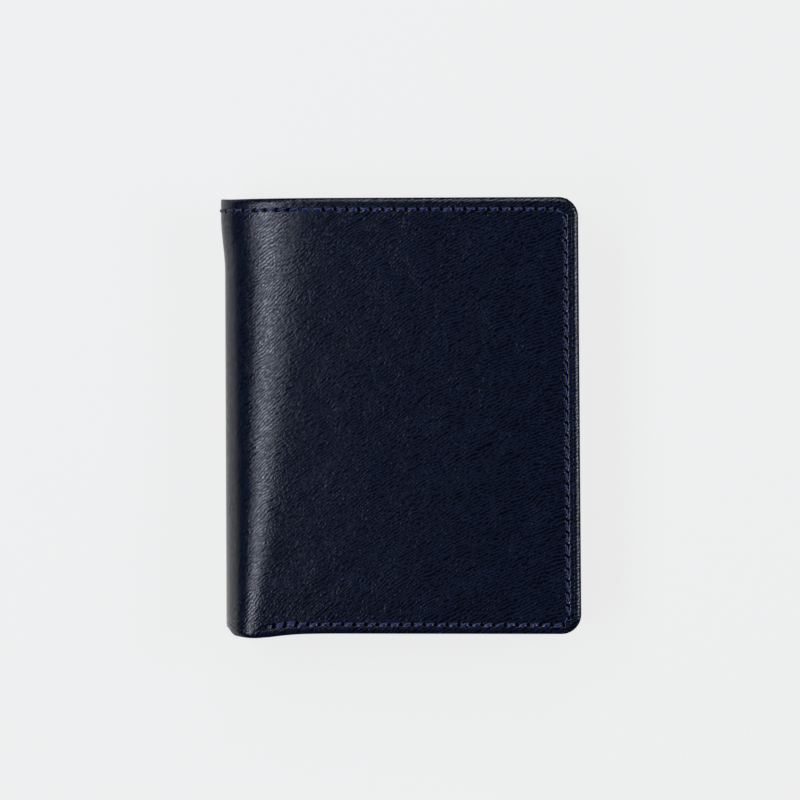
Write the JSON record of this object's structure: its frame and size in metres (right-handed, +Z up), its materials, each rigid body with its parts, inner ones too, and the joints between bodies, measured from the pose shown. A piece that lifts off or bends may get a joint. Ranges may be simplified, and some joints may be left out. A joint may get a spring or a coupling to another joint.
{
  "type": "trifold wallet",
  "caption": "Closed trifold wallet with a leather cover folded round two spines, a full-length note compartment, stepped card pockets and an identity window.",
  "frame": {"origin": "centre of the closed wallet's outline, on the surface that its centre panel lies on", "axes": "+X from the spine to the free edge, +Y towards the mouth of the note compartment, +Z up through the closed wallet"},
  "size_m": [0.09, 0.11, 0.024],
  "materials": {
    "cover_leather": "semi-gloss navy leather with a fine grain and a turned edge",
    "inner_leather": "thin navy leather, lightly grained",
    "note_lining": "navy twill lining, matt",
    "window_film": "clear flexible film",
    "thread": "royal blue waxed sewing thread"
  },
  "bodies": {
    "centre_panel": {"cover_centre": "cover_leather", "note_lining_centre": "note_lining", "note_wall_centre": "inner_leather", "slip_pocket": "inner_leather", "id_window_film": "window_film", "id_window_frame": "inner_leather", "seam_centre_top": "thread", "seam_centre_bottom": "thread"},
    "spine": {"cover_spine_1": "cover_leather", "note_lining_spine_1": "note_lining", "note_wall_spine_1": "inner_leather", "seam_spine_1": "thread"},
    "front_panel": {"cover_front": "cover_leather", "note_lining_front": "note_lining", "note_wall_front": "inner_leather", "card_pocket_front_1": "inner_leather", "card_pocket_front_2": "inner_leather", "card_pocket_front_3": "inner_leather", "card_pocket_front_4": "inner_leather", "seam_front": "thread"},
    "inner_fold": {"cover_inner_fold_1": "cover_leather", "note_lining_inner_fold_1": "note_lining", "note_wall_inner_fold_1": "inner_leather", "seam_inner_fold_1": "thread"},
    "inner_flap": {"cover_flap": "cover_leather", "note_lining_flap": "note_lining", "note_wall_flap": "inner_leather", "card_pocket_flap_1": "inner_leather", "card_pocket_flap_2": "inner_leather", "card_pocket_flap_3": "inner_leather", "seam_flap": "thread"}
  },
  "joints": [
    {"name": "spine_hinge", "type": "hinge", "parent": "centre_panel", "child": "spine", "pos_m": [-0.0416, 0, 0.0034], "axis": [0, -1, 0], "range_deg": [0, 90]},
    {"name": "front_panel_opens", "type": "hinge", "parent": "spine", "child": "front_panel", "pos_m": [-0.0416, 0, 0.0206], "axis": [0, -1, 0], "range_deg": [0, 90]},
    {"name": "inner_fold_hinge", "type": "hinge", "parent": "centre_panel", "child": "inner_fold", "pos_m": [0.04145, 0, 0.00205], "axis": [0, 1, 0], "range_deg": [0, 90]},
    {"name": "inner_flap_hinge", "type": "hinge", "parent": "inner_fold", "child": "inner_flap", "pos_m": [0.04145, 0, 0.01245], "axis": [0, 1, 0], "range_deg": [0, 90]}
  ],
  "couplings": [
    {"joint": "spine_hinge", "follows": "front_panel_opens", "ratio": 1},
    {"joint": "inner_fold_hinge", "follows": "front_panel_opens", "ratio": 0.5},
    {"joint": "inner_flap_hinge", "follows": "front_panel_opens", "ratio": 0.5}
  ]
}
